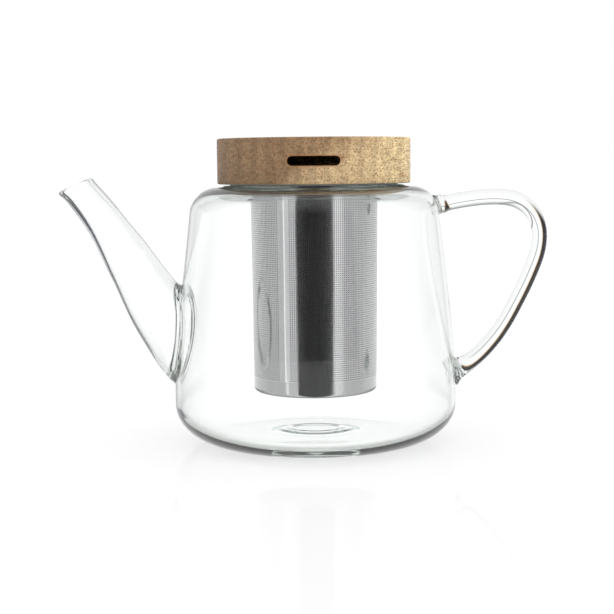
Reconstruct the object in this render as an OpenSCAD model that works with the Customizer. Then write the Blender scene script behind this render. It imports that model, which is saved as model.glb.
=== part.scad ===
// Glass teapot with a steel infuser and a turned wooden lid.
// Millimetres, +Z up. The origin is the centre of the base, on the resting plane.
// The spout points along -X and the handle along +X.

/* [Glass vessel] */
// Widest radius of the vessel, just above its rounded heel
body_r = 68; // [66.6:0.2:69.2]
// Height at which the wall starts to curve inwards
belly_z = 23; // [21:0.5:25]
// Radius of the long curve of the wall, seen from the side
belly_r = 325; // [290:5:360]
// Lean of the upper wall from the vertical, in degrees
wall_lean = 6.7; // [6.2:0.1:7.2]
// Height of the flat deck that the lid stands on
deck_z = 123.6; // [121.4:0.2:125.4]
// Width of the rounded heel, an elliptical curve from the base to the wall
heel_w = 25; // [20:0.5:28]
// Height of the rounded heel
heel_h = 19; // [16:0.5:20]
// Radius of the rounded shoulder
shoulder_r = 14; // [13:0.5:15]
// Thickness of the side wall
wall_t = 2.3; // [2:0.1:2.8]
// Thickness of the base
base_t = 3.4; // [3:0.1:4]
// Thickness of the glass under the deck
deck_t = 2.7; // [2.4:0.1:3]
// Outer radius of the upstanding neck under the lid
neck_r = 34.8; // [34.6:0.1:35]
// Radius of the mouth
mouth_r = 32; // [31.9:0.1:32.4]
// Height of the neck above the deck
neck_h = 8; // [7:0.5:8]
// Radius of the pushed-up centre of the base
punt_r = 21.5; // [18:0.5:26]
// Rise of the pushed-up centre of the base
punt_h = 1.2; // [0.8:0.1:1.6]

/* [Spout] */
// Thickness of the spout's wall
spout_wall = 1.8; // [1.5:0.1:2.2]
// Width of the opening in the wall behind the spout
opening_w = 39; // [34:0.5:40]
// Height of that opening
opening_h = 40; // [34:0.5:41]
// Height of its centre above the table
opening_z = 51.8; // [50:0.2:53]

/* [Handle] */
// Diameter of the solid glass rod
rod_d = 7.5; // [6.6:0.1:8.4]
// How far the upper end of the rod flares where it is fused on
flare_top = 1.3; // [0.6:0.1:2]
// How far the lower end of the rod flares where it is fused on
flare_bottom = 3.8; // [2:0.2:4.4]

/* [Infuser] */
// Radius of the perforated tube at its top
tube_top_r = 30.45; // [30:0.05:30.6]
// Radius of the perforated tube at its bottom
tube_bottom_r = 29.75; // [29:0.05:29.9]
// Thickness of the infuser's sheet
sheet_t = 0.6; // [0.4:0.1:0.8]
// Height of the infuser's floor above the resting plane
floor_z = 24.6; // [20:0.2:32]
// Height of the plain band at the foot of the infuser
band_h = 7.3; // [5:0.1:10]
// Outer radius of the flange that rests on the neck
flange_r = 34.2; // [33.6:0.1:34.3]

/* [Lid] */
// Diameter of the lid
lid_d = 92.4; // [88:0.2:96]
// Thickness of the lid
lid_h = 21.5; // [20.5:0.1:24]
// Gap between the lid and the deck, filled by the seal's foot
lid_gap = 0.6; // [0.5:0.1:0.8]
// Width of the vent slot
vent_w = 24; // [16:1:30]
// Height of the vent slot
vent_h = 4.4; // [4.2:0.1:4.6]

/* [Hidden] */
$fn = 96;
EPS = 0.01;

// Points of an arc in the profile plane, from angle a to angle b
function arc(c, r, a, b, n) = [for (i = [0:n]) let(t = a + (b - a) * i / n) [c[0] + r * cos(t), c[1] + r * sin(t)]];

// Points of the elliptical heel, a quarter of an ellipse from its foot up
function heel(c, w, h, a, b, n) = [for (i = [0:n]) let(t = a + (b - a) * i / n) [c[0] + w * cos(t), c[1] + h * sin(t)]];
// Radius of the upper wall's straight line at height z, t inside the outer face
function lean_r(z, t) = body_r - belly_r + (belly_r - t) * cos(wall_lean) - (z - belly_z - (belly_r - t) * sin(wall_lean)) * tan(wall_lean);

// Vessel: a rounded heel, a long gentle curve, a straight leaning wall and a rounded shoulder, each tangent to the next
deck_edge_z = deck_z - 0.7;
heel_c = [body_r - heel_w, heel_h];
belly_c = [body_r - belly_r, belly_z];
shoulder_cz = deck_edge_z - shoulder_r;
shoulder_c = [lean_r(shoulder_cz, 0) - shoulder_r / cos(wall_lean), shoulder_cz];
heel_wi = heel_w - wall_t;
heel_hi = heel_h - base_t;
shoulder_ri = shoulder_r - deck_t;
shoulder_ci = [lean_r(shoulder_cz, wall_t) - shoulder_ri / cos(wall_lean), shoulder_cz];
ceiling_z = shoulder_cz + shoulder_ri;
rim_z = deck_z + neck_h;
rim_round = 0.9;

outer_wall = concat(heel(heel_c, heel_w, heel_h, -90, 0, 14), arc(belly_c, belly_r, 0, wall_lean, 7), arc(shoulder_c, shoulder_r, wall_lean, 90, 10));

vessel_profile = concat(
    [[0, punt_h], [punt_r - 3, punt_h], [punt_r - 1, punt_h * 0.6], [punt_r, 0]],
    outer_wall,
    [[41, deck_z], [neck_r + 1.5, deck_z]],
    arc([neck_r + 1.5, deck_z + 1.5], 1.5, 270, 180, 4),
    arc([neck_r - rim_round, rim_z - rim_round], rim_round, 0, 90, 4),
    arc([mouth_r + rim_round, rim_z - rim_round], rim_round, 90, 180, 4),
    arc([mouth_r + 2.4, ceiling_z + 2.4], 2.4, 180, 270, 5),
    arc(shoulder_ci, shoulder_ri, 90, wall_lean, 10),
    arc(belly_c, belly_r - wall_t, wall_lean, 0, 7),
    heel(heel_c, heel_wi, heel_hi, 0, -90, 14),
    [[punt_r, base_t], [punt_r - 1, base_t + punt_h * 0.4], [punt_r - 3, base_t + punt_h], [0, base_t + punt_h]]
);

// Everything inside the vessel's outer wall, used to trim what is fused on to it
module vessel_envelope() {
    rotate_extrude() polygon(concat([[0, 0]], outer_wall, [[0, deck_edge_z]]));
}

// Smooth curve through hand-placed points, each a list of numbers
function spline(p, i, t) =
    let(a = p[max(i - 1, 0)], b = p[i], c = p[i + 1], d = p[min(i + 2, len(p) - 1)])
    0.5 * (2 * b + (c - a) * t + (2 * a - 5 * b + 4 * c - d) * t * t + (3 * b - a - 3 * c + d) * t * t * t);
function resample(p, k) = concat([for (i = [0:len(p) - 2]) for (j = [0:k - 1]) spline(p, i, j / k)], [p[len(p) - 1]]);

// A closed solid from rings of equal length
module skin(rings) {
    n = len(rings[0]);
    m = len(rings);
    polyhedron(
        points = [for (r = rings) for (q = r) q],
        faces = concat(
            [[for (i = [0:n - 1]) i]],
            [for (j = [0:m - 2]) for (i = [0:n - 1]) [j * n + i, (j + 1) * n + i, (j + 1) * n + (i + 1) % n]],
            [for (j = [0:m - 2]) for (i = [0:n - 1]) [j * n + i, (j + 1) * n + (i + 1) % n, j * n + (i + 1) % n]],
            [[for (i = [n - 1:-1:0]) (m - 1) * n + i]]
        ),
        convexity = 6
    );
}

// Spout sections from wall to lip: upper edge X, Z, lower edge X, Z, half width in Y
spout_sections = [
    [-58.2, 74.1, -58.6, 29.1, 22.8],
    [-64.2, 74.8, -68.2, 29.0, 22.4],
    [-67.8, 78.4, -73.8, 34.1, 20.6],
    [-73.2, 85.2, -79.8, 43.1, 18.4],
    [-81.0, 96.1, -88.4, 58.2, 15.6],
    [-89.4, 106.6, -97.2, 77.8, 13.0],
    [-97.6, 117.2, -108.6, 101.1, 10.6],
    [-106.2, 127.1, -121.8, 120.5, 8.6]
];
SPOUT_SIDES = 36;
function section_ring(s, trim, flat) =
    let(u = [s[0], 0, s[1]], l = [s[2], 0, s[3]], c = (u + l) / 2, a = (u - l) / 2, h = norm(a),
        ai = a * (h - trim) / h, w = s[4] - flat)
    [for (i = [0:SPOUT_SIDES - 1]) let(t = 360 * i / SPOUT_SIDES) c + ai * cos(t) + [0, w * sin(t), 0]];
spout_path = resample(spout_sections, 2);

module spout() {
    color([0.80, 0.90, 0.90, 0.5])
    difference() {
        skin([for (s = spout_path) section_ring(s, 0, 0)]);
        skin(concat(
            [section_ring(spout_path[0] + [10, 0, 10, 0, 0], spout_wall * 1.2, spout_wall)],
            [for (s = spout_path) section_ring(s, spout_wall * 1.2, spout_wall)],
            [section_ring(spout_path[len(spout_path) - 1] + [-2.4, 4, -2.4, 4, 0], spout_wall * 1.2, spout_wall)]
        ));
        vessel_envelope();
    }
}

// Handle centre line, X and Z, from the shoulder round to the foot of the wall
handle_line = [
    [53.1, 112.3], [57.7, 113.3], [63.1, 114.2], [71.9, 115.8], [81.1, 116.9], [89.5, 117.0], [96.5, 115.8],
    [102.1, 112.5], [106.0, 107.7], [108.0, 102.1], [108.3, 96.1], [107.1, 89.5], [104.4, 82.1], [101.0, 74.3],
    [96.9, 66.0], [92.6, 58.0], [87.9, 50.8], [82.7, 44.5], [77.4, 39.3], [71.8, 35.0], [66.0, 31.6], [59.4, 28.7]
];
handle_path = resample(handle_line, 2);
ROD_SIDES = 20;
function rod_r(p) = rod_d / 2 + (p[1] > 70 ? flare_top * exp(-max(p[0] - 59.4, 0) / 2.2) : flare_bottom * exp(-max(p[0] - 68.4, 0) / 3.4));
function rod_dir(i) = let(a = handle_path[max(i - 1, 0)], b = handle_path[min(i + 1, len(handle_path) - 1)]) (b - a) / norm(b - a);
function rod_ring(i) = let(p = handle_path[i], d = rod_dir(i), r = rod_r(p))
    [for (k = [0:ROD_SIDES - 1]) let(t = 360 * k / ROD_SIDES) [p[0] - d[1] * r * cos(t), r * sin(t), p[1] + d[0] * r * cos(t)]];

module handle() {
    color([0.80, 0.90, 0.90, 0.5])
    difference() {
        skin([for (i = [0:len(handle_path) - 1]) rod_ring(i)]);
        vessel_envelope();
    }
}

module glass_body() {
    color([0.80, 0.90, 0.90, 0.35])
    difference() {
        rotate_extrude() polygon(vessel_profile);
        translate([-52, 0, opening_z]) rotate([0, -90, 0]) linear_extrude(height = 20)
            polygon([for (i = [0:47]) [opening_h / 2 * cos(7.5 * i), opening_w / 2 * sin(7.5 * i)]]);
    }
}

// Infuser: etched tube, flared collar with a flange, and a stamped base cup
collar_foot_z = deck_z - 3.2;
band_top_z = floor_z + band_h;
module infuser_tube() {
    color([0.66, 0.67, 0.68])
    rotate_extrude() polygon([
        [tube_bottom_r - sheet_t, band_top_z], [tube_bottom_r, band_top_z],
        [tube_top_r, collar_foot_z], [tube_top_r - sheet_t, collar_foot_z]
    ]);
}

module infuser_collar() {
    color([0.72, 0.73, 0.74])
    rotate_extrude() polygon(concat(
        [[tube_top_r - sheet_t, collar_foot_z], [tube_top_r, collar_foot_z], [tube_top_r + 0.2, collar_foot_z + 0.6], [tube_top_r + 0.85, collar_foot_z + 2.2]],
        [[tube_top_r + 0.85, rim_z - 1.2]],
        [[tube_top_r + 1.1, rim_z - 0.4], [tube_top_r + 1.7, rim_z]],
        [[flange_r, rim_z], [flange_r, rim_z + 0.8], [tube_top_r + 1.3, rim_z + 0.8]],
        [[tube_top_r + 0.4, rim_z + 0.3], [tube_top_r + 0.25, rim_z - 0.6]],
        [[tube_top_r + 0.25, collar_foot_z + 2.6], [tube_top_r - 0.3, collar_foot_z + 1.2]]
    ));
}

module infuser_base() {
    corner = 1.8;
    color([0.62, 0.63, 0.64])
    rotate_extrude() polygon(concat(
        [[0, floor_z]],
        arc([tube_bottom_r - corner, floor_z + corner], corner, -90, 0, 5),
        [[tube_bottom_r, band_top_z], [tube_bottom_r - sheet_t, band_top_z]],
        arc([tube_bottom_r - corner, floor_z + corner], corner - sheet_t, 0, -90, 5),
        [[0, floor_z + sheet_t]]
    ));
}

// Lid: one turned disc of wood with a recess for the neck, a vent slot in front and a soft seal in a groove
lid_z = deck_z + lid_gap;
lid_top = lid_z + lid_h;
recess_r = neck_r + 1.3;
recess_top = lid_z + 14;
groove_r = neck_r + 2.4;
groove_lo = lid_z + 2;
groove_hi = lid_z + 6;
vent_z = lid_z + lid_h / 2;

module lid_body() {
    R = lid_d / 2;
    color([0.50, 0.33, 0.20])
    difference() {
        rotate_extrude() polygon(concat(
            [[groove_r + 1.2, lid_z]],
            arc([R - 0.9, lid_z + 0.9], 0.9, -90, 0, 4),
            arc([R - 0.9, lid_top - 0.9], 0.9, 0, 90, 4),
            [[0, lid_top], [0, recess_top], [recess_r, recess_top], [recess_r, groove_hi], [groove_r, groove_hi], [groove_r, groove_lo], [recess_r, groove_lo], [recess_r, lid_z]]
        ));
        translate([0, -recess_r + 3, vent_z]) rotate([90, 0, 0]) {
            for (s = [-1, 1]) translate([s * (vent_w - vent_h) / 2, 0, 0]) cylinder(h = 20, d = vent_h);
            translate([-(vent_w - vent_h) / 2, -vent_h / 2, 0]) cube([vent_w - vent_h, vent_h, 20]);
        }
    }
}

module lid_seal() {
    inner = neck_r + 0.3;
    color([0.90, 0.91, 0.90, 0.8])
    rotate_extrude() polygon([
        [inner + 1.3, deck_z], [inner + 5.2, deck_z], [inner + 5.2, lid_z], [recess_r, lid_z],
        [recess_r, groove_lo], [groove_r, groove_lo], [groove_r, groove_hi], [recess_r, groove_hi],
        [inner + 0.7, groove_hi], [inner, groove_hi - 0.8], [inner + 0.6, groove_hi - 1.6], [inner, groove_hi - 2.6], [inner + 0.6, groove_hi - 3.4],
        [inner + 0.6, lid_z + 1.2]
    ]);
}

glass_body();
spout();
handle();
infuser_tube();
infuser_collar();
infuser_base();
lid_body();
lid_seal();
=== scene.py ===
import bpy, bmesh, math
from mathutils import Vector, Matrix, noise


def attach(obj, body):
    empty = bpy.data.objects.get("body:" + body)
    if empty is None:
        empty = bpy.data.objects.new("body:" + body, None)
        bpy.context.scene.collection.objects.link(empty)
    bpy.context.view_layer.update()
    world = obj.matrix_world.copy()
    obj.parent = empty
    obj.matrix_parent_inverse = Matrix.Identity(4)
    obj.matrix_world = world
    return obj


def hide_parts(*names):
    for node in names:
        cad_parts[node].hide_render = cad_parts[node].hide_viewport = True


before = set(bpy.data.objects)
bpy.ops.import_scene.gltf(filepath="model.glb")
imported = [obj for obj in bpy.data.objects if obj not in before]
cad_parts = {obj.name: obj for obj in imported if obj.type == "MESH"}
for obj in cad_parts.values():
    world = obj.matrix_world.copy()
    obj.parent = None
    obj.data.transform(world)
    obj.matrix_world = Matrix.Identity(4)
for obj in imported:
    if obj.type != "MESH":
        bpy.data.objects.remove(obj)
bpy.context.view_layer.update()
MM = 0.001


# ---------------------------------------------------------------- helpers
def new_object(name, verts, faces, sharp=None):
    me = bpy.data.meshes.new(name)
    me.from_pydata([tuple(v) for v in verts], [], faces)
    me.validate()
    ob = bpy.data.objects.new(name, me)
    bpy.context.scene.collection.objects.link(ob)
    finish_mesh(ob, sharp)
    return ob


def finish_mesh(ob, sharp=None):
    """Outward normals, smooth shading, and hard edges above an angle in degrees."""
    me = ob.data
    bm = bmesh.new()
    bm.from_mesh(me)
    bmesh.ops.remove_doubles(bm, verts=bm.verts, dist=1e-7)
    bmesh.ops.recalc_face_normals(bm, faces=bm.faces)
    for f in bm.faces:
        f.smooth = True
    if sharp is not None:
        lim = math.radians(sharp)
        for e in bm.edges:
            if len(e.link_faces) == 2:
                e.smooth = e.calc_face_angle(0.0) < lim
    bm.to_mesh(me)
    bm.free()
    me.update()


def arc(cx, cz, rx, rz, a0, a1, n):
    return [(cx + rx * math.cos(math.radians(a0 + (a1 - a0) * i / n)), cz + rz * math.sin(math.radians(a0 + (a1 - a0) * i / n))) for i in range(n + 1)]


def line(p, q, n):
    return [(p[0] + (q[0] - p[0]) * i / n, p[1] + (q[1] - p[1]) * i / n) for i in range(n + 1)]


def join(*parts):
    out = []
    for part in parts:
        for p in part:
            if not out or abs(p[0] - out[-1][0]) + abs(p[1] - out[-1][1]) > 1e-6:
                out.append(p)
    return out


def revolve(name, profile, segs, closed, sharp=None, wobble=None):
    """Turns a profile of (r, z) in mm round Z. closed: the profile is a loop off the axis. Otherwise it starts and ends on the axis."""
    verts, rings = [], []
    for r, z in profile:
        if r < 1e-6:
            rings.append([len(verts)])
            verts.append((0, 0, z * MM))
        else:
            ring = []
            for k in range(segs):
                a = 2 * math.pi * k / segs
                dr = wobble(a, r, z) if wobble else 0.0
                ring.append(len(verts))
                verts.append(((r + dr) * math.cos(a) * MM, (r + dr) * math.sin(a) * MM, z * MM))
            rings.append(ring)
    faces = []
    n = len(rings)
    for i in range(n if closed else n - 1):
        a, b = rings[i], rings[(i + 1) % n]
        for k in range(segs):
            k2 = (k + 1) % segs
            if len(a) == 1 and len(b) == 1:
                continue
            if len(a) == 1:
                faces.append((a[0], b[k], b[k2]))
            elif len(b) == 1:
                faces.append((a[k], b[0], a[k2]))
            else:
                faces.append((a[k], b[k], b[k2], a[k2]))
    return new_object(name, verts, faces, sharp)


def cut(ob, cutter):
    m = ob.modifiers.new("cut", "BOOLEAN")
    m.operation = "DIFFERENCE"
    m.solver = "EXACT"
    m.object = cutter
    bpy.context.view_layer.objects.active = ob
    dg = bpy.context.evaluated_depsgraph_get()
    me = bpy.data.meshes.new_from_object(ob.evaluated_get(dg))
    ob.modifiers.clear()
    old = ob.data
    ob.data = me
    bpy.data.meshes.remove(old)
    bpy.data.objects.remove(cutter)


# ---------------------------------------------------------------- sizes in mm, as in the CAD
LEAN = math.radians(6.7)
DECK_Z, RIM_Z = 123.6, 131.6
BODY_R, BELLY_Z, BELLY_R = 68.0, 23.0, 325.0
HEEL_C, HEEL_W, HEEL_H = (43.0, 19.0), 25.0, 19.0
WALL, BASE_T, DECK_T = 2.3, 3.4, 2.7
NECK_R, MOUTH_R = 34.8, 32.0
SH_R, SH_Z = 14.0, DECK_Z - 0.7 - 14.0


def lean_r(z, t):
    """Radius of the straight upper wall at height z, t inside the outer face."""
    return BODY_R - BELLY_R + (BELLY_R - t) * math.cos(LEAN) - (z - BELLY_Z - (BELLY_R - t) * math.sin(LEAN)) * math.tan(LEAN)


HWI, HHI, SRI = HEEL_W - WALL, HEEL_H - BASE_T, SH_R - DECK_T
SH_C = lean_r(SH_Z, 0) - SH_R / math.cos(LEAN)
SH_CI = lean_r(SH_Z, WALL) - SRI / math.cos(LEAN)
CEIL = SH_Z + SRI
LD = math.degrees(LEAN)


def wall_r(z):
    """Outer radius of the vessel at height z, above the heel."""
    if z < BELLY_Z:
        return BODY_R
    if z < BELLY_Z + BELLY_R * math.sin(LEAN):
        return BODY_R - BELLY_R + math.sqrt(BELLY_R ** 2 - (z - BELLY_Z) ** 2)
    if z <= SH_Z + SH_R * math.sin(LEAN):
        return lean_r(z, 0)
    s = min((z - SH_Z) / SH_R, 1.0)
    return SH_C + SH_R * math.sqrt(max(1 - s * s, 0.0))


# ---------------------------------------------------------------- glass vessel
def side(w, h, r_belly, r_sh, c_sh):
    """Heel, belly, leaning wall and shoulder, from the foot up."""
    heel = arc(HEEL_C[0], HEEL_C[1], w, h, -90, 0, 40)
    belly = arc(BODY_R - BELLY_R, BELLY_Z, r_belly, r_belly, 0, LD, 26)
    hi = (c_sh + r_sh * math.cos(LEAN), SH_Z + r_sh * math.sin(LEAN))
    return join(heel, line(heel[-1], belly[0], 3), belly, line(belly[-1], hi, 26), arc(c_sh, SH_Z, r_sh, r_sh, LD, 90, 28))


outer = side(HEEL_W, HEEL_H, BELLY_R, SH_R, SH_C)
inner = side(HWI, HHI, BELLY_R - WALL, SRI, SH_CI)


def punt(z0, h, lift):
    """The pushed-up centre of the base, from the axis outwards."""
    pts = [(0, z0 + h)]
    for i in range(1, 31):
        r = 24.0 * i / 30
        t = min(max((r - 17.5) / 4.5, 0), 1)
        s = 1 - t * t * (3 - 2 * t)
        ring = 0.35 * math.exp(-((r - 12.5) / 1.6) ** 2) * lift
        pts.append((r, z0 + h * s + ring))
    return pts


profile = join(
    punt(0.0, 1.2, 0.0),
    line((24, 0), (HEEL_C[0], 0), 6),
    outer,
    [(SH_C - 2, DECK_Z - 0.62), (43, DECK_Z - 0.25), (41, DECK_Z), (38.5, DECK_Z)],
    arc(NECK_R + 1.5, DECK_Z + 1.5, 1.5, 1.5, 270, 180, 8),
    line((NECK_R, DECK_Z + 1.5), (NECK_R, RIM_Z - 1.1), 4),
    arc(NECK_R - 1.1, RIM_Z - 1.1, 1.1, 1.1, 0, 90, 8),
    arc(MOUTH_R + 1.1, RIM_Z - 1.1, 1.1, 1.1, 90, 180, 8),
    line((MOUTH_R, RIM_Z - 1.1), (MOUTH_R, CEIL + 2.4), 4),
    arc(MOUTH_R + 2.4, CEIL + 2.4, 2.4, 2.4, 180, 270, 10),
    line((MOUTH_R + 2.4, CEIL), (SH_CI, CEIL), 5),
    list(reversed(inner)),
    line((HEEL_C[0], BASE_T), (24, BASE_T), 6),
    list(reversed(punt(BASE_T, 1.0, 1.0))),
)


def blown(a, r, z):
    """The wall is very slightly uneven, as blown glass is. Both faces of the wall share it, so that it stays clear of the rest."""
    if r < 45 or z > 118:
        return 0.0
    k = min((r - 45) / 12, 1.0) * min((118 - z) / 10, 1.0)
    v = noise.noise(Vector((math.cos(a) * 1.1, math.sin(a) * 1.1, z * 0.016)))
    w = noise.noise(Vector((math.cos(a) * 2.6 + 7, math.sin(a) * 2.6, z * 0.035)))
    return k * (0.16 * v + 0.05 * w) - k * 0.12


vessel = revolve("glass_vessel", profile, 240, False, sharp=None, wobble=blown)

# one oval opening behind the spout
bm = bmesh.new()
m = Matrix.Translation((-62 * MM, 0, 51.8 * MM)) @ Matrix.Rotation(math.radians(90), 4, "Y") @ Matrix.Diagonal((20.0, 19.5, 1.0, 1.0))
bmesh.ops.create_cone(bm, cap_ends=True, segments=96, radius1=MM, radius2=MM, depth=20 * MM, matrix=m)
me = bpy.data.meshes.new("holes")
bm.to_mesh(me)
bm.free()
holes = bpy.data.objects.new("holes", me)
bpy.context.scene.collection.objects.link(holes)
cut(vessel, holes)
finish_mesh(vessel, sharp=40)
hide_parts("glass_body")
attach(vessel, "pot")


# ---------------------------------------------------------------- spline helper
def spline(p, k):
    out = []
    n = len(p)
    for i in range(n - 1):
        a, b, c, d = p[max(i - 1, 0)], p[i], p[i + 1], p[min(i + 2, n - 1)]
        for j in range(k):
            t = j / k
            out.append([0.5 * (2 * b[m] + (c[m] - a[m]) * t + (2 * a[m] - 5 * b[m] + 4 * c[m] - d[m]) * t * t + (3 * b[m] - a[m] - 3 * c[m] + d[m]) * t ** 3) for m in range(len(b))])
    out.append(list(p[-1]))
    return out


# ---------------------------------------------------------------- spout
SPOUT = [
    [-58.2, 74.1, -58.6, 29.1, 22.8],
    [-64.2, 74.8, -68.2, 29.0, 22.4],
    [-67.8, 78.4, -73.8, 34.1, 20.6],
    [-73.2, 85.2, -79.8, 43.1, 18.4],
    [-81.0, 96.1, -88.4, 58.2, 15.6],
    [-89.4, 106.6, -97.2, 77.8, 13.0],
    [-97.6, 117.2, -108.6, 101.1, 10.6],
    [-106.0, 126.6, -121.5, 120.0, 8.6],
]
path = spline(SPOUT, 12)
NS = 120


def section(s, t, trim, flat):
    u, l = Vector((s[0], 0, s[1])), Vector((s[2], 0, s[3]))
    c, a = (u + l) / 2, (u - l) / 2
    h = a.length
    a = a * ((h - trim) / h)
    return c + a * math.cos(t) + Vector((0, (s[4] - flat) * math.sin(t), 0))


def depth_out(p):
    """How far a point lies outside the vessel's wall."""
    return (math.hypot(p.x, p.y) - wall_r(p.z)) * math.cos(LEAN)


def generatrix(t, trim, flat):
    """Points of one lengthwise line of the spout, from just inside the wall to the lip."""
    pts = [section(s, t, trim, flat) for s in path]
    for i in range(len(pts) - 1):
        a, b = depth_out(pts[i]), depth_out(pts[i + 1])
        if a < -0.7 <= b:
            f = (-0.7 - a) / (b - a)
            return [pts[i].lerp(pts[i + 1], f)] + pts[i + 1:]
    return pts


def resample(pts, stations):
    """Points at given fractions of the length."""
    acc = [0.0]
    for a, b in zip(pts, pts[1:]):
        acc.append(acc[-1] + (b - a).length)
    out, i = [], 0
    for s in stations:
        d = s * acc[-1]
        while i < len(pts) - 2 and acc[i + 1] < d:
            i += 1
        f = (d - acc[i]) / max(acc[i + 1] - acc[i], 1e-9)
        out.append(pts[i].lerp(pts[i + 1], min(max(f, 0), 1)))
    return out


STAT = [0, 0.004, 0.009, 0.015, 0.022, 0.030, 0.040, 0.052, 0.066, 0.082, 0.10] + [0.10 + 0.90 * i / 44 for i in range(1, 45)]
SPOUT_T = 1.8
out_l, in_l = [], []
for k in range(NS):
    t = 2 * math.pi * k / NS
    o = resample(generatrix(t, 0, 0), STAT)
    i_ = resample(generatrix(t, SPOUT_T * 1.25, SPOUT_T), STAT)
    radial = Vector((0, math.sin(t), math.cos(t)))
    oo, ii = [], []
    for j, (p, q) in enumerate(zip(o, i_)):
        dp, dq = max(depth_out(p), 0), max(depth_out(q), 0)
        oo.append(p + radial * (1.2 * math.exp(-((dp / 1.5) ** 1.15))))
        ii.append(q - radial * (0.9 * math.exp(-((dq / 2.6) ** 1.3))))
    out_l.append(oo)
    in_l.append(ii)
# the lip: a small fire-polished bead that turns out a little at the pouring side
nS = len(STAT)
for k in range(NS):
    t = 2 * math.pi * k / NS
    pour = 0.5 - 0.5 * math.cos(t)
    o, i_ = out_l[k], in_l[k]
    ax = (o[-1] - o[-4]).normalized()
    c = sum((out_l[m][-1] for m in range(0, NS, 10)), Vector()) / 12
    rad = (o[-1] - c)
    rad = (rad - ax * rad.dot(ax)).normalized()
    for j in range(nS):
        s = STAT[j]
        curl = math.exp(-(1 - s) * 97 / 2.0)
        o[j] = o[j] + rad * (0.30 + 0.75 * pour ** 2) * curl
        i_[j] = i_[j] + rad * (0.10 + 0.85 * pour ** 2) * curl
verts, faces = [], []
loops = []
for j in range(nS):
    loops.append([out_l[k][j] for k in range(NS)])
LIP = 8
for j in range(1, LIP):
    a = math.pi * j / LIP
    ring = []
    for k in range(NS):
        o, i_ = out_l[k][-1], in_l[k][-1]
        mid, half = (o + i_) / 2, (o - i_) / 2
        ax = (out_l[k][-1] - out_l[k][-3]).normalized()
        ax = (ax - half.normalized() * ax.dot(half.normalized())).normalized()
        ring.append(mid + half * math.cos(a) * (1 + 0.10 * math.sin(a)) + ax * (half.length * 1.15 * math.sin(a)))
    loops.append(ring)
for j in range(nS - 1, -1, -1):
    loops.append([in_l[k][j] for k in range(NS)])
for ring in loops:
    verts.extend([(p.x * MM, p.y * MM, p.z * MM) for p in ring])
L = len(loops)
for j in range(L):
    for k in range(NS):
        a, b = j * NS + k, j * NS + (k + 1) % NS
        c, d = ((j + 1) % L) * NS + (k + 1) % NS, ((j + 1) % L) * NS + k
        faces.append((a, b, c, d))
spout = new_object("glass_spout", verts, faces, sharp=50)
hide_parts("spout")
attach(spout, "pot")


# ---------------------------------------------------------------- handle
HANDLE = [
    [57.7, 113.3], [60.0, 113.7], [63.1, 114.2], [71.9, 115.8], [81.1, 116.9], [89.5, 117.0], [96.5, 115.8],
    [102.1, 112.5], [106.0, 107.7], [108.0, 102.1], [108.3, 96.1], [107.1, 89.5], [104.4, 82.1], [101.0, 74.3],
    [96.9, 66.0], [92.6, 58.0], [87.9, 50.8], [82.7, 44.5], [77.4, 39.3], [71.8, 35.0], [67.6, 32.5], [65.6, 31.4],
]
hp = [Vector((p[0], 0, p[1])) for p in spline(HANDLE, 9)]
NH = 56
verts, faces = [], []
for i, p in enumerate(hp):
    d = (hp[min(i + 1, len(hp) - 1)] - hp[max(i - 1, 0)]).normalized()
    side = Vector((-d.z, 0, d.x))
    s = i / (len(hp) - 1)
    base = 3.75 + 0.10 * math.sin(9 * s) + 0.06 * math.sin(23 * s + 1)
    for k in range(NH):
        t = 2 * math.pi * k / NH
        r = base
        q = p + side * (r * math.cos(t)) + Vector((0, r * math.sin(t), 0))
        # flare where the rod is fused on: the skin spreads along the wall
        dist = max(depth_out(q), 0.0)
        if p.z > 70:
            fl = 1.15 * math.exp(-((dist / 1.7) ** 1.2)) + 0.5 * math.exp(-(((dist - 3.0) / 1.3) ** 2))
        else:
            fl = 3.3 * math.exp(-((dist / 2.6) ** 1.1))
        q = q + (side * math.cos(t) + Vector((0, math.sin(t), 0))) * fl * (1 if s < 0.5 or math.cos(t) < 0.3 else 0.75)
        verts.append((q.x * MM, q.y * MM, q.z * MM))
n = len(hp)
for i in range(n - 1):
    for k in range(NH):
        faces.append((i * NH + k, i * NH + (k + 1) % NH, (i + 1) * NH + (k + 1) % NH, (i + 1) * NH + k))
faces.append(tuple(range(NH)))
faces.append(tuple((n - 1) * NH + k for k in range(NH - 1, -1, -1)))
handle = new_object("glass_handle", verts, faces, sharp=60)
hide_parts("handle")
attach(handle, "pot")


# ---------------------------------------------------------------- infuser
FLOOR_Z, BAND_TOP, COLLAR_Z = 24.6, 31.9, DECK_Z - 3.2
T_TOP, T_BOT = 30.45, 29.75


def tube_r(z):
    return T_BOT + (T_TOP - T_BOT) * (z - BAND_TOP) / (COLLAR_Z - BAND_TOP)


# perforated sheet: a square grid of small round-ish holes, but for one plain strip along the weld seam
PITCH = 1.0
Z0, Z1 = BAND_TOP + 0.25, COLLAR_Z - 0.9
ROWS = int((Z1 - Z0) / PITCH)
STEP_Z = (Z1 - Z0) / ROWS
SEAM_C, SEAM_W = math.radians(270 - 28.5), 5.6
seam_half = SEAM_W / 2 / 30.1
COLS = int((2 * math.pi - 2 * seam_half) * 30.1 / PITCH)
A0 = SEAM_C + seam_half
STEP_A = (2 * math.pi - 2 * seam_half) / COLS
HOLE, PIT = 0.26, 0.30


SHEET = 0.45


def on_sheet(a, z, depth=0.0):
    """A point on the sheet's outer face, or depth below it. Rolled sheet is never quite round."""
    r = tube_r(z) + 0.05 * math.sin(3 * a + z * 0.02) - 0.05 - depth
    return (r * math.cos(a) * MM, r * math.sin(a) * MM, z * MM)


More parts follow.
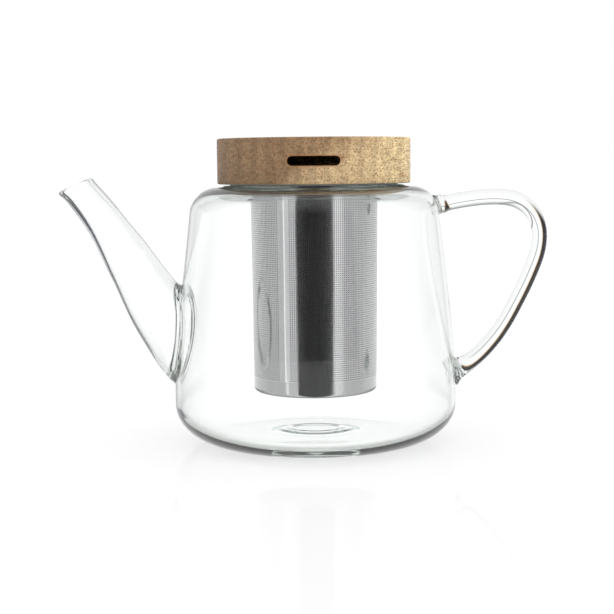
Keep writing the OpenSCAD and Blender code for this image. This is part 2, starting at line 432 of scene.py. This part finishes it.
# every etched hole is a pit in the outer face; its dark inside is painted shade, set in the sheet's material
verts, faces, grid = [], [], {}
for j in range(ROWS + 1):
    for i in range(COLS + 1):
        grid[i, j] = len(verts)
        verts.append(on_sheet(A0 + STEP_A * i, Z0 + STEP_Z * j))
for j in range(ROWS):
    zc = Z0 + STEP_Z * (j + 0.5)
    for i in range(COLS):
        ac = A0 + STEP_A * (i + 0.5)
        n = len(verts)
        rt, up, lt, dn, tip = n, n + 1, n + 2, n + 3, n + 4
        for ca, cz in ((1, 0), (0, 1), (-1, 0), (0, -1)):
            verts.append(on_sheet(ac + ca * PIT / 30.1, zc + cz * PIT))
        verts.append(on_sheet(ac, zc, 0.26))
        c00, c10, c11, c01 = grid[i, j], grid[i + 1, j], grid[i + 1, j + 1], grid[i, j + 1]
        faces += [
            (c00, c10, dn), (c10, c11, rt), (c11, c01, up), (c01, c00, lt),
            (dn, c10, rt), (rt, c11, up), (up, c01, lt), (lt, c00, dn),
            (dn, rt, tip), (rt, up, tip), (up, lt, tip), (lt, dn, tip),
        ]
# the plain strip along the weld seam
SEAM_N = 8
for i in range(SEAM_N + 1):
    a = A0 - 2 * seam_half * (1 - i / SEAM_N)
    for j in range(ROWS + 1):
        grid["s", i, j] = grid[0, j] if i == SEAM_N else grid[COLS, j] if i == 0 else len(verts)
        if 0 < i < SEAM_N:
            verts.append(on_sheet(a, Z0 + STEP_Z * j, -0.05 if i in (3, 4, 5) else 0.0))
for i in range(SEAM_N):
    for j in range(ROWS):
        faces.append((grid["s", i, j], grid["s", i + 1, j], grid["s", i + 1, j + 1], grid["s", i, j + 1]))
# plain margins, both rims and the smooth inner face
turns = [A0 + STEP_A * i for i in range(COLS)] + [A0 - 2 * seam_half * (1 - i / SEAM_N) for i in range(SEAM_N)]


def ring_at(z, depth):
    first = len(verts)
    verts.extend(on_sheet(a, z, depth) for a in turns)
    return list(range(first, first + len(turns)))


low_edge = [grid[i, 0] for i in range(COLS)] + [grid["s", i, 0] for i in range(SEAM_N)]
top_edge = [grid[i, ROWS] for i in range(COLS)] + [grid["s", i, ROWS] for i in range(SEAM_N)]
loops = [top_edge, ring_at(COLLAR_Z, 0)] + [ring_at(COLLAR_Z + (BAND_TOP - COLLAR_Z) * k / 5, SHEET) for k in range(6)] + [ring_at(BAND_TOP, 0), low_edge]
for lo, hi_ in zip(loops, loops[1:]):
    for k in range(len(turns)):
        k2 = (k + 1) % len(turns)
        faces.append((lo[k], lo[k2], hi_[k2], hi_[k]))
tube = new_object("infuser_sheet", verts, faces, sharp=35)
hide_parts("infuser_tube")
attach(tube, "infuser")

# collar: a flared lip that turns over into the flange on the neck
t = 0.35
co = join(
    line((T_TOP, COLLAR_Z - 0.4), (T_TOP + 0.10, COLLAR_Z + 0.5), 3),
    [(T_TOP + 0.35, COLLAR_Z + 1.2), (T_TOP + 0.72, COLLAR_Z + 2.0), (T_TOP + 0.82, COLLAR_Z + 2.6)],
    line((T_TOP + 0.82, COLLAR_Z + 2.6), (T_TOP + 0.85, RIM_Z - 1.0), 4),
    arc(T_TOP + 1.85, RIM_Z - 1.0, 1.0, 1.0, 180, 90, 6),
    line((T_TOP + 1.85, RIM_Z + 0.02), (34.0, RIM_Z + 0.02), 2),
)
ci = join(
    arc(34.0, RIM_Z + 0.22, 0.2, 0.2, -60, 90, 4),
    line((34.0, RIM_Z + 0.45), (T_TOP + 1.7, RIM_Z + 0.45), 2),
    arc(T_TOP + 1.7, RIM_Z - 0.95, 1.2, 1.4, 90, 180, 6),
    line((T_TOP + 0.5, RIM_Z - 0.95), (T_TOP + 0.47, COLLAR_Z + 2.7), 4),
    [(T_TOP + 0.4, COLLAR_Z + 2.2), (T_TOP + 0.05, COLLAR_Z + 1.4), (T_TOP - 0.25, COLLAR_Z + 0.6), (T_TOP - 0.33, COLLAR_Z - 0.4)],
)
collar = revolve("infuser_rim", join(co, ci), 256, True, sharp=45)
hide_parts("infuser_collar")
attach(collar, "infuser")

# base cup: a plain band with a rounded corner and a shallow pressed floor
DIMPLE = (math.radians(270 - 15.5), FLOOR_Z + 3.0)


def cup_wobble(a, r, z):
    d = math.hypot((a - DIMPLE[0]) * T_BOT, z - DIMPLE[1]) if r > T_BOT - 0.8 else 9
    return 0.28 * math.exp(-((d / 0.85) ** 2)) - 0.16 * math.exp(-((d / 0.35) ** 2)) + (0.05 * math.sin(3 * a) - 0.06 if r > 28 else 0)


cz = FLOOR_Z + 1.9
cup = join(
    [(0, FLOOR_Z + 0.7)],
    line((2, FLOOR_Z + 0.7), (23.5, FLOOR_Z + 0.7), 8),
    [(24.2, FLOOR_Z + 0.62), (25.0, FLOOR_Z + 0.3), (25.8, FLOOR_Z + 0.06), (26.4, FLOOR_Z)],
    line((26.4, FLOOR_Z), (T_BOT - 1.9, FLOOR_Z), 3),
    arc(T_BOT - 1.9, cz, 1.9, 1.9, -90, 0, 10),
    line((T_BOT, cz), (T_BOT, BAND_TOP + 0.1), 34),
    line((T_BOT - 0.35, BAND_TOP + 0.1), (T_BOT - 0.35, cz), 8),
    arc(T_BOT - 1.9, cz, 1.55, 1.55, 0, -90, 8),
    line((T_BOT - 1.9, FLOOR_Z + 0.35), (26.5, FLOOR_Z + 0.35), 3),
    [(25.9, FLOOR_Z + 0.42), (25.1, FLOOR_Z + 0.66), (24.3, FLOOR_Z + 0.98), (23.5, FLOOR_Z + 1.05)],
    line((23.5, FLOOR_Z + 1.05), (2, FLOOR_Z + 1.05), 8),
    [(0, FLOOR_Z + 1.05)],
)
base = revolve("infuser_cup", cup, 320, False, sharp=45, wobble=cup_wobble)
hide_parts("infuser_base")
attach(base, "infuser")


# ---------------------------------------------------------------- lid
LID_R, LID_Z, LID_TOP = 46.2, DECK_Z + 0.6, DECK_Z + 0.6 + 21.5
REC_R, REC_TOP = NECK_R + 1.3, DECK_Z + 0.6 + 14
GR_R, GR_LO, GR_HI = NECK_R + 2.4, LID_Z + 2, LID_Z + 6
VENT_Z = LID_Z + 21.5 / 2
lid_prof = join(
    line((REC_R + 0.4, LID_Z), (LID_R - 0.7, LID_Z), 12),
    arc(LID_R - 0.7, LID_Z + 0.7, 0.7, 0.7, -90, 0, 6),
    line((LID_R, LID_Z + 0.7), (LID_R, LID_TOP - 0.8), 40),
    arc(LID_R - 0.8, LID_TOP - 0.8, 0.8, 0.8, 0, 90, 6),
    line((LID_R - 0.8, LID_TOP), (0, LID_TOP), 30),
)
lid_in = join(
    [(0, REC_TOP)],
    line((1, REC_TOP), (REC_R - 0.6, REC_TOP), 10),
    arc(REC_R - 0.6, REC_TOP - 0.6, 0.6, 0.6, 90, 0, 4),
    line((REC_R, REC_TOP - 0.6), (REC_R, GR_HI), 6),
    [(GR_R, GR_HI), (GR_R, GR_LO), (REC_R, GR_LO)],
    line((REC_R, GR_LO), (REC_R, LID_Z + 0.4), 3),
    [(REC_R + 0.4, LID_Z)],
)
lid = revolve("wooden_lid", list(reversed(join(lid_prof))) [:-1] + [(REC_R + 0.4, LID_Z)] + list(reversed(lid_in))[1:], 256, False, sharp=None)
bm = bmesh.new()
W, H = 24.0, 4.4
ring = []
for s, a0 in ((1, -90), (-1, 90)):
    for i in range(17):
        a = math.radians(a0 + 180 * i / 16)
        ring.append((s * (W - H) / 2 + H / 2 * math.cos(a), VENT_Z + H / 2 * math.sin(a)))
near, far = [], []
for x, z in ring:
    near.append(bm.verts.new((x * MM, -50 * MM, z * MM)))
    far.append(bm.verts.new((x * MM, -33 * MM, z * MM)))
bm.faces.new(near)
bm.faces.new(list(reversed(far)))
for i in range(len(ring)):
    j = (i + 1) % len(ring)
    bm.faces.new((near[j], near[i], far[i], far[j]))
bmesh.ops.recalc_face_normals(bm, faces=bm.faces)
me = bpy.data.meshes.new("slot")
bm.to_mesh(me)
bm.free()
slot = bpy.data.objects.new("slot", me)
bpy.context.scene.collection.objects.link(slot)
cut(lid, slot)
finish_mesh(lid, sharp=38)
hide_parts("lid_body")
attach(lid, "lid")

inner_r = NECK_R + 0.3
seal_prof = join(
    [(inner_r + 1.3, DECK_Z + 0.02), (inner_r + 3.2, DECK_Z), (inner_r + 5.0, DECK_Z + 0.02), (inner_r + 5.2, DECK_Z + 0.3), (inner_r + 5.1, LID_Z - 0.02)],
    [(REC_R + 0.1, LID_Z - 0.02), (REC_R - 0.05, LID_Z + 0.3), (REC_R - 0.05, GR_LO + 0.05), (GR_R - 0.1, GR_LO + 0.05), (GR_R - 0.05, GR_HI - 0.1), (REC_R - 0.05, GR_HI - 0.05)],
    [(inner_r + 0.7, GR_HI - 0.1)],
    arc(inner_r + 0.5, GR_HI - 0.8, 0.5, 0.5, 90, 260, 6),
    arc(inner_r + 0.5, GR_HI - 2.6, 0.5, 0.6, 100, 260, 6),
    [(inner_r + 0.6, GR_HI - 3.6), (inner_r + 0.6, LID_Z + 1.2), (inner_r + 0.8, LID_Z + 0.2)],
)
seal = revolve("lid_ring", seal_prof, 224, True, sharp=50)
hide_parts("lid_seal")
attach(seal, "lid")


# ---------------------------------------------------------------- materials
class Nodes:
    def __init__(self, name):
        self.mat = bpy.data.materials.new(name)
        self.mat.use_nodes = True
        self.nt = self.mat.node_tree
        self.nt.nodes.clear()
        self.out = self.nt.nodes.new("ShaderNodeOutputMaterial")

    def add(self, kind, **props):
        n = self.nt.nodes.new(kind)
        inputs = props.pop("inputs", {})
        for k, v in props.items():
            setattr(n, k, v)
        for k, v in inputs.items():
            self.put(n.inputs[k], v)
        return n

    def put(self, socket, v):
        if isinstance(v, bpy.types.NodeSocket):
            self.nt.links.new(v, socket)
        else:
            socket.default_value = v

    def math(self, op, a, b=0.0, clamp=False):
        n = self.add("ShaderNodeMath", operation=op, use_clamp=clamp)
        self.put(n.inputs[0], a)
        self.put(n.inputs[1], b)
        return n.outputs[0]

    def ramp(self, fac, stops, interp="LINEAR"):
        n = self.add("ShaderNodeValToRGB")
        n.color_ramp.interpolation = interp
        el = n.color_ramp.elements
        while len(el) < len(stops):
            el.new(0.5)
        for e, (p, c) in zip(el, stops):
            e.position = p
            e.color = c if len(c) == 4 else (*c, 1)
        self.put(n.inputs["Fac"], fac)
        return n.outputs["Color"]

    def span(self, v, lo, hi, a=0.0, b=1.0):
        n = self.add("ShaderNodeMapRange", inputs={"Value": v, "From Min": lo, "From Max": hi, "To Min": a, "To Max": b})
        return n.outputs["Result"]

    def mix(self, fac, a, b, mode="MIX"):
        n = self.add("ShaderNodeMix", data_type="RGBA", blend_type=mode)
        self.put(n.inputs["Factor"], fac)
        self.put(n.inputs["A"], a)
        self.put(n.inputs["B"], b)
        return n.outputs["Result"]

    def coords(self, scale=(1, 1, 1), loc=(0, 0, 0)):
        tc = self.add("ShaderNodeTexCoord")
        mp = self.add("ShaderNodeMapping", inputs={"Vector": tc.outputs["Object"], "Scale": scale, "Location": loc})
        return mp.outputs["Vector"]

    def noise(self, vec, scale, detail=3.0, rough=0.5, distort=0.0, out="Fac"):
        n = self.add("ShaderNodeTexNoise", inputs={"Vector": vec, "Scale": scale, "Detail": detail, "Roughness": rough, "Distortion": distort})
        return n.outputs[out]

    def bump(self, height, strength, dist):
        n = self.add("ShaderNodeBump", inputs={"Height": height, "Strength": strength, "Distance": dist})
        return n.outputs["Normal"]


def glass(name, tint, density, bump):
    m = Nodes(name)
    v = m.coords()
    h = m.noise(v, 26.0, 1.0, 0.4)
    nrm = m.bump(h, bump, 0.001)
    # painted shade: the glass colour darkens towards grazing angles, a painted stand-in for the dark outlines of the
    # glass walls
    edge = m.add("ShaderNodeLayerWeight", inputs={"Blend": 0.12})
    col = m.mix(edge.outputs["Facing"], (1, 1, 1, 1), (0.86, 0.90, 0.885, 1))
    g = m.add("ShaderNodeBsdfPrincipled", inputs={
        "Base Color": col, "Roughness": 0.0, "IOR": 1.474, "Transmission Weight": 1.0, "Normal": nrm})
    a = m.add("ShaderNodeVolumeAbsorption", inputs={"Color": tint, "Density": density})
    m.put(m.out.inputs["Surface"], g.outputs[0])
    m.put(m.out.inputs["Volume"], a.outputs[0])
    return m.mat


TINT = (0.62, 0.80, 0.72, 1)
set_mat = lambda ob, mat: (ob.data.materials.clear(), ob.data.materials.append(mat))
set_mat(vessel, glass("vessel_glass", TINT, 14.0, 0.05))
set_mat(spout, glass("spout_glass_clear", TINT, 14.0, 0.05))
set_mat(handle, glass("handle_glass_clear", TINT, 8.0, 0.05))


def steel(name, base, rough, streak, aniso=0.0):
    m = Nodes(name)
    v = m.coords(scale=(1, 1, 0.25))
    fine = m.noise(m.coords(scale=(1, 1, 0.06)), 900.0, 2.0, 0.6)
    cloud = m.noise(v, 38.0, 3.0, 0.55)
    rg = m.math("ADD", m.span(fine, 0.3, 0.7, -streak, streak), m.span(cloud, 0.3, 0.7, rough - 0.04, rough + 0.05))
    dark = tuple(c * 0.86 for c in base[:3]) + (1,)
    col = m.mix(m.span(cloud, 0.35, 0.7), dark, base)
    nrm = m.bump(m.noise(v, 46.0, 2.0, 0.5), 0.10, 0.002)
    p = m.add("ShaderNodeBsdfPrincipled", inputs={"Base Color": col, "Metallic": 1.0, "Roughness": rg, "Normal": nrm})
    m.put(m.out.inputs["Surface"], p.outputs[0])
    return m.mat




def etched(name, base, rough, streak):
    """The same steel with the grid of etched holes painted as dark dots, a painted shade for the unlit inside seen
    through them; plain along the seam and at both ends.
    """
    steel(name, base, rough, streak)
    m = Nodes.__new__(Nodes)
    m.mat = bpy.data.materials[name]
    m.nt = m.mat.node_tree
    m.out = next(n for n in m.nt.nodes if n.type == "OUTPUT_MATERIAL")
    plain = m.out.inputs["Surface"].links[0].from_socket
    sp = m.add("ShaderNodeSeparateXYZ", inputs={0: m.add("ShaderNodeTexCoord").outputs["Object"]})
    X, Y, Z = sp.outputs
    turn = m.math("FRACT", m.math("MULTIPLY", m.math("SUBTRACT", m.math("ARCTAN2", Y, X), A0), 0.5 / math.pi))
    u = m.math("MULTIPLY", turn, 2 * math.pi / STEP_A)
    v = m.math("MULTIPLY", m.math("SUBTRACT", Z, Z0 * MM), 1 / (STEP_Z * MM))
    fu = m.math("MULTIPLY", m.math("SUBTRACT", m.math("FRACT", u), 0.5), STEP_A * 30.1)
    fv = m.math("MULTIPLY", m.math("SUBTRACT", m.math("FRACT", v), 0.5), STEP_Z)
    d = m.math("SQRT", m.math("ADD", m.math("MULTIPLY", fu, fu), m.math("MULTIPLY", fv, fv)))
    dots = m.span(d, HOLE + 0.02, HOLE - 0.02)
    dots = m.math("MULTIPLY", dots, m.math("LESS_THAN", u, float(COLS)))
    dots = m.math("MULTIPLY", dots, m.math("MULTIPLY", m.math("GREATER_THAN", v, 0.0), m.math("LESS_THAN", v, float(ROWS))))
    # painted shade: the dots get a dark grey in place of steel, standing for the unlit inside seen through each hole
    hole_shade = m.add("ShaderNodeBsdfPrincipled", inputs={"Base Color": (0.10, 0.10, 0.105, 1), "Roughness": 0.9, "Specular IOR Level": 0.1})
    mx = m.add("ShaderNodeMixShader", inputs={0: dots, 1: plain, 2: hole_shade.outputs[0]})
    m.put(m.out.inputs["Surface"], mx.outputs[0])
    return m.mat


set_mat(tube, etched("steel_sheet", (0.80, 0.80, 0.81, 1), 0.13, 0.02))
set_mat(collar, steel("steel_rim", (0.76, 0.76, 0.77, 1), 0.16, 0.02))
set_mat(base, steel("steel_cup", (0.70, 0.70, 0.71, 1), 0.15, 0.02))


def wood():
    """Acacia with its fibres running front to back (Y): end grain in front, long grain at the sides and on top."""
    m = Nodes("acacia_wood")
    P = m.add("ShaderNodeTexCoord").outputs["Object"]
    sp = m.add("ShaderNodeSeparateXYZ")
    m.put(sp.inputs[0], P)
    X, Y, Z = sp.outputs

    def along(k, scale, detail=3.0, rough=0.6, distort=0.0, loc=(0, 0, 0)):
        return m.noise(m.coords(scale=(1, k, 1), loc=loc), scale, detail, rough, distort)

    def tint(col, f, lo, hi, a, b):
        return m.mix(1.0, col, m.span(f, lo, hi, a, b), "MULTIPLY")

    # heartwood on the left, sapwood on the right; the border slants up to the right. The colour gets darker towards the
    # far left edge of the lid.
    soft = m.span(along(0.10, 26.0), 0.25, 0.75, -0.007, 0.007)
    edge = m.math("ADD", m.math("ADD", X, m.math("MULTIPLY", m.math("ADD", Z, -0.1349), -1.45)), soft)
    sap = m.span(edge, -0.005, 0.016)
    far = m.span(m.math("ADD", X, soft), 0.016, 0.036)
    heart = m.ramp(m.span(X, -0.046, 0.022), [(0.0, (0.235, 0.148, 0.080)), (0.45, (0.270, 0.166, 0.086)), (1.0, (0.430, 0.270, 0.135))])
    sapw = m.mix(far, (0.650, 0.465, 0.255, 1), (0.820, 0.620, 0.335, 1))
    col = m.mix(sap, heart, sapw)
    # growth bands, wide and weak, then the fine figure
    rad = m.math("ADD", m.math("ADD", m.math("MULTIPLY", X, 0.55), Z), m.span(along(0.06, 14.0), 0, 1, -0.006, 0.006))
    band = m.add("ShaderNodeTexWave", wave_type="BANDS", bands_direction="X", wave_profile="SIN",
                 inputs={"Vector": m.coords(scale=(1, 0.04, 1)), "Scale": 46.0, "Distortion": 5.0, "Detail": 3.0, "Detail Scale": 1.4})
    col = tint(col, band.outputs["Fac"], 0, 1, 0.90, 1.08)
    worm = along(0.055, 760.0, 2.0, 0.62, 1.1)
    col = tint(col, worm, 0.34, 0.66, 0.72, 1.28)
    fine = along(0.035, 1700.0, 2.0, 0.6, 0.0, (0.4, 0.0, 0.2))
    col = tint(col, fine, 0.30, 0.70, 0.88, 1.12)
    # pores: reddish-brown dots on end grain, drawn out into fine lines along the fibres
    face = m.add("ShaderNodeCombineXYZ", inputs={0: m.math("ADD", X, m.span(along(1.0, 9.0), 0, 1, -0.0006, 0.0006)), 1: Z, 2: 0.0})
    vor = m.add("ShaderNodeTexVoronoi", feature="F1", voronoi_dimensions="2D", inputs={"Vector": face.outputs[0], "Scale": 820.0, "Randomness": 1.0})
    dots = m.span(vor.outputs["Distance"], 0.16, 0.36, 1.0, 0.0)
    keep = m.span(vor.outputs["Color"], 0.46, 0.52)
    pores = m.math("MULTIPLY", dots, keep, clamp=True)
    col = m.mix(m.math("MULTIPLY", pores, 0.62), col, (0.220, 0.085, 0.030, 1))
    # reddish streaks in the sapwood
    streak = m.noise(m.coords(scale=(0.30, 0.08, 1.6)), 520.0, 3.0, 0.65, 0.6)
    col = m.mix(m.math("MULTIPLY", m.span(streak, 0.54, 0.66), m.math("MULTIPLY", far, 0.62)), col, (0.330, 0.145, 0.062, 1))
    # painted highlight: the top edge and the whole top face are painted a little paler
    col = tint(col, Z, 0.14500, 0.14560, 1.0, 1.14)
    # charred slot with a scorched rim, drawn out to a small check at its right end
    ax = m.math("MAXIMUM", m.math("ADD", m.math("ABSOLUTE", X), -(W - H) / 2 * MM), 0.0)
    dz = m.math("ADD", Z, -VENT_Z * MM)
    dist = m.math("SQRT", m.math("ADD", m.math("MULTIPLY", ax, ax), m.math("MULTIPLY", dz, dz)))
    jag = m.span(m.noise(m.coords(), 520.0, 3.0, 0.65), 0.3, 0.7, -0.00030, 0.00030)
    reach = m.math("ADD", dist, jag)
    front = m.span(Y, -0.0352, -0.0372)
    scorch = m.math("MULTIPLY", m.span(reach, 0.00300, 0.00215), front)
    check = m.math("MULTIPLY", m.span(m.math("ABSOLUTE", m.math("ADD", m.math("ADD", dz, m.math("MULTIPLY", X, -0.10)), m.math("MULTIPLY", jag, 0.8))), 0.0010, 0.0002),
                   m.math("MULTIPLY", m.span(X, 0.0165, 0.0125), m.span(X, 0.0105, 0.0118)))
    check = m.math("MULTIPLY", check, front, clamp=True)
    inside = m.math("MULTIPLY", m.span(dist, 0.00224, 0.00216), front)
    col = m.mix(m.math("MULTIPLY", scorch, 0.60), col, (0.400, 0.130, 0.022, 1))
    col = m.mix(m.math("MULTIPLY", check, 0.75), col, (0.300, 0.085, 0.018, 1))
    col = m.mix(inside, col, (0.014, 0.008, 0.005, 1))
    # painted shade: the underside is painted a flat grey in place of wood, standing for the grey shade in the gap under
    # the lid seen through the glass
    col = m.mix(m.math("LESS_THAN", Z, (LID_Z + 0.25) * MM), col, (0.44, 0.43, 0.39, 1))
    rough = m.math("ADD", m.span(fine, 0.3, 0.7, 0.60, 0.48), m.math("MULTIPLY", pores, 0.2))
    hgt = m.math("SUBTRACT", m.math("MULTIPLY", fine, 0.5), m.math("MULTIPLY", pores, 0.8))
    nrm = m.bump(hgt, 0.30, 0.0003)
    p = m.add("ShaderNodeBsdfPrincipled", inputs={"Base Color": col, "Roughness": rough, "Normal": nrm, "Specular IOR Level": 0.30})
    m.put(m.out.inputs["Surface"], p.outputs[0])
    return m.mat


set_mat(lid, wood())


def silicone():
    m = Nodes("clear_silicone_rubber")
    n = m.noise(m.coords(), 260.0, 3.0, 0.6)
    col = m.mix(n, (0.62, 0.63, 0.61, 1), (0.74, 0.75, 0.73, 1))
    p = m.add("ShaderNodeBsdfPrincipled", inputs={
        "Base Color": col, "Roughness": m.span(n, 0.3, 0.7, 0.38, 0.5), "IOR": 1.41, "Transmission Weight": 0.25,
        "Subsurface Weight": 0.25, "Subsurface Scale": 0.002, "Normal": m.bump(n, 0.12, 0.0005)})
    p.inputs["Subsurface Radius"].default_value = (1.0, 1.0, 1.0)
    m.put(m.out.inputs["Surface"], p.outputs[0])
    return m.mat


set_mat(seal, silicone())


# ---------------------------------------------------------------- stage: floor, world, camera
me = bpy.data.meshes.new("floor")
S = 30.0
me.from_pydata([(-S, -S, -0.0002), (S, -S, -0.0002), (S, S, -0.0002), (-S, S, -0.0002)], [], [(0, 1, 2, 3)])
floor = bpy.data.objects.new("floor", me)
bpy.context.scene.collection.objects.link(floor)
m = Nodes("floor_white")
d = m.add("ShaderNodeBsdfDiffuse", inputs={"Color": (0.34, 0.34, 0.34, 1)})
g = m.add("ShaderNodeBsdfGlossy", inputs={"Color": (1, 1, 1, 1), "Roughness": 0.03})
e = m.add("ShaderNodeEmission", inputs={"Color": (1, 1, 1, 1), "Strength": 0.72})
ad = m.add("ShaderNodeAddShader")
m.put(ad.inputs[0], d.outputs[0])
m.put(ad.inputs[1], e.outputs[0])
fr = m.add("ShaderNodeFresnel", inputs={"IOR": 1.40})
mx = m.add("ShaderNodeMixShader")
m.put(mx.inputs[0], m.math("ADD", m.math("MULTIPLY", fr.outputs[0], 0.22), 0.03))
m.put(mx.inputs[1], ad.outputs[0])
m.put(mx.inputs[2], g.outputs[0])
m.put(m.out.inputs["Surface"], mx.outputs[0])
floor.data.materials.append(m.mat)
# the light that comes through the glass is the studio's own, set in the world below
floor.visible_transmission = False

world = bpy.data.worlds.new("studio")
bpy.context.scene.world = world
world.use_nodes = True
world.cycles.sampling_method = "NONE"
nt = world.node_tree
nt.nodes.clear()
W_ = Nodes.__new__(Nodes)
W_.nt = nt
W_.out = nt.nodes.new("ShaderNodeOutputWorld")
tc = W_.add("ShaderNodeTexCoord")
sx = W_.add("ShaderNodeSeparateXYZ")
W_.put(sx.inputs[0], tc.outputs["Generated"])
DX, DY, DZ = sx.outputs
# azimuth in degrees: 0 behind the pot, +90 to its right, 180 on the camera's side
az = W_.math("MULTIPLY", W_.add("ShaderNodeMath", operation="ARCTAN2", inputs={0: DX, 1: DY}).outputs[0], 180 / math.pi)
fac = W_.span(az, -180, 180)


def ring_of(stops):
    return W_.ramp(fac, [((a + 180) / 360, (v, v, v, 1) if not isinstance(v, tuple) else (*v, 1)) for a, v in stops])


# what polished metal mirrors: a dark room behind the camera, bright side screens with a gap, a bright back wall
room = ring_of([(-180, .02), (-148.5, .02), (-147, .85), (-134, .82), (-129, .75), (-127.5, 1.7), (-125, 1.7), (-123.5, .70), (-84, .66), (-60, .85), (-30, 1.0),
                (30, 1.0), (60, .85), (84, .66), (126, .70), (127.5, 1.05), (130, 1.05), (131, .98), (140, 1.1), (144.5, 1.2), (146, .02), (180, .02)])
# what the edge of a glass wall turns the light towards: a dark card on the left, a pale one on the right
card = ring_of([(-180, .10), (-150, .10), (-100, .06), (-90, .30), (-80, .06), (-62, .06), (-50, .10), (-36, .30), (-32, .85), (-20, .85), (-17, .10),
                (-5, .04), (-2, .85), (5, .75), (10, .97), (27, .97), (31, .70), (42, .70), (60, .30), (100, .12), (125, .12), (135, .40), (145, .12), (180, .10)])
# what a solid glass rod turns the light towards
rod = ring_of([(-180, .85), (-102, .90), (-92, (.35, .45, .75)), (-82, (.05, .07, .20)), (-64, (.02, .025, .06)), (-13, .010), (-9, (.14, .06, .02)), (-6.5, (.75, .55, .30)), (-4.5, .98),
               (0, 1.08), (11, 1.08), (13, .42), (15, .42), (17, 1.05), (60, 1.05), (100, .9), (180, .85)])
line_up = W_.math("MULTIPLY", W_.span(DZ, 0.115, 0.135), W_.span(DZ, 0.175, 0.155))
rod = W_.mix(line_up, rod, (0.05, 0.04, 0.02, 1))
hi = W_.span(DZ, 0.35, 0.75)
room = W_.mix(hi, room, (0.95, 0.95, 0.95, 1))
low = W_.span(DZ, -0.22, -0.42)
rod = W_.mix(hi, rod, (0.30, 0.31, 0.32, 1))
rod = W_.mix(low, rod, (1.0, 1.0, 1.0, 1))

def within(v, a, b, c, d):
    """Rises from a to b, falls from c to d."""
    return W_.math("MULTIPLY", W_.span(v, a, b), W_.span(v, d, c))


# below the level of the table the card reaches further round, but for a pale strip in front
card = W_.mix(W_.math("MULTIPLY", W_.span(az, -7, -11), within(DZ, -0.37, -0.33, -0.20, -0.16)), card, (0.03, 0.035, 0.06, 1))
card = W_.mix(W_.math("MULTIPLY", within(az, -42, -34, 34, 42), W_.span(DZ, -0.34, -0.39)), card, (0.78, 0.80, 0.77, 1))
card = W_.mix(W_.math("MULTIPLY", within(az, -16, -12, 8, 12), within(DZ, -0.27, -0.24, -0.14, -0.12)), card, (0.02, 0.025, 0.02, 1))
# the far side of the heel
room = W_.mix(W_.math("MULTIPLY", within(az, -70, -60, 60, 70), W_.span(DZ, -0.16, -0.20)), room, (0.36, 0.38, 0.34, 1))
lp = W_.add("ShaderNodeLightPath")
gd, td = lp.outputs["Glossy Depth"], lp.outputs["Transmission Depth"]
mirrored = W_.math("GREATER_THAN", gd, 0.5)
two = W_.math("MULTIPLY", W_.math("GREATER_THAN", td, 1.5), W_.math("LESS_THAN", td, 2.5))
none = W_.math("LESS_THAN", td, 0.5)
through = W_.mix(two, (1.16, 1.16, 1.16, 1), rod)
# little light comes up from the table into the gap between the vessel and the lid
gap = W_.math("MULTIPLY", W_.math("GREATER_THAN", lp.outputs["Diffuse Depth"], 0.5), W_.span(DZ, 0.12, 0.02))
through = W_.mix(gap, through, (0.62, 0.64, 0.60, 1))
through = W_.mix(none, through, (1.0, 1.0, 1.0, 1))
back = W_.mix(two, room, card)
seen = W_.mix(mirrored, through, back)
bgc = W_.add("ShaderNodeBackground", inputs={"Color": (1, 1, 1, 1), "Strength": 1.0})
bge = W_.add("ShaderNodeBackground", inputs={"Color": seen, "Strength": 1.0})
mw = W_.add("ShaderNodeMixShader")
W_.put(mw.inputs[0], lp.outputs["Is Camera Ray"])
W_.put(mw.inputs[1], bge.outputs[0])
W_.put(mw.inputs[2], bgc.outputs[0])
W_.put(W_.out.inputs["Surface"], mw.outputs[0])

sc = bpy.context.scene
sc.view_settings.view_transform = "Standard"
sc.view_settings.look = "None"
sc.view_settings.exposure = 0.0
sc.view_settings.gamma = 1.0
# light goes through up to six glass faces and bounces inside them, so it gets more bounces than usual
sc.cycles.max_bounces = 32
sc.cycles.transmission_bounces = 32
sc.cycles.glossy_bounces = 16

cam_d = bpy.data.cameras.new("camera")
cam = bpy.data.objects.new("camera", cam_d)
sc.collection.objects.link(cam)
cam_d.sensor_width = 36.0
cam_d.lens = 36.0 * 1427.0 / 614.0
cam_d.clip_start, cam_d.clip_end = 0.01, 200.0
cam.location = (0.0, -0.687, 0.13465)
yaw = math.atan(7.9 / 1427.0)
cam.rotation_mode = "XYZ"
fwd = Vector((-math.sin(yaw) * math.cos(math.radians(5.823)), math.cos(yaw) * math.cos(math.radians(5.823)), -math.sin(math.radians(5.823))))
q = fwd.to_track_quat("-Z", "Y")
roll = Matrix.Rotation(math.radians(-0.5), 4, "Z")
cam.rotation_euler = (q.to_matrix().to_4x4() @ roll).to_euler("XYZ")
sc.camera = cam
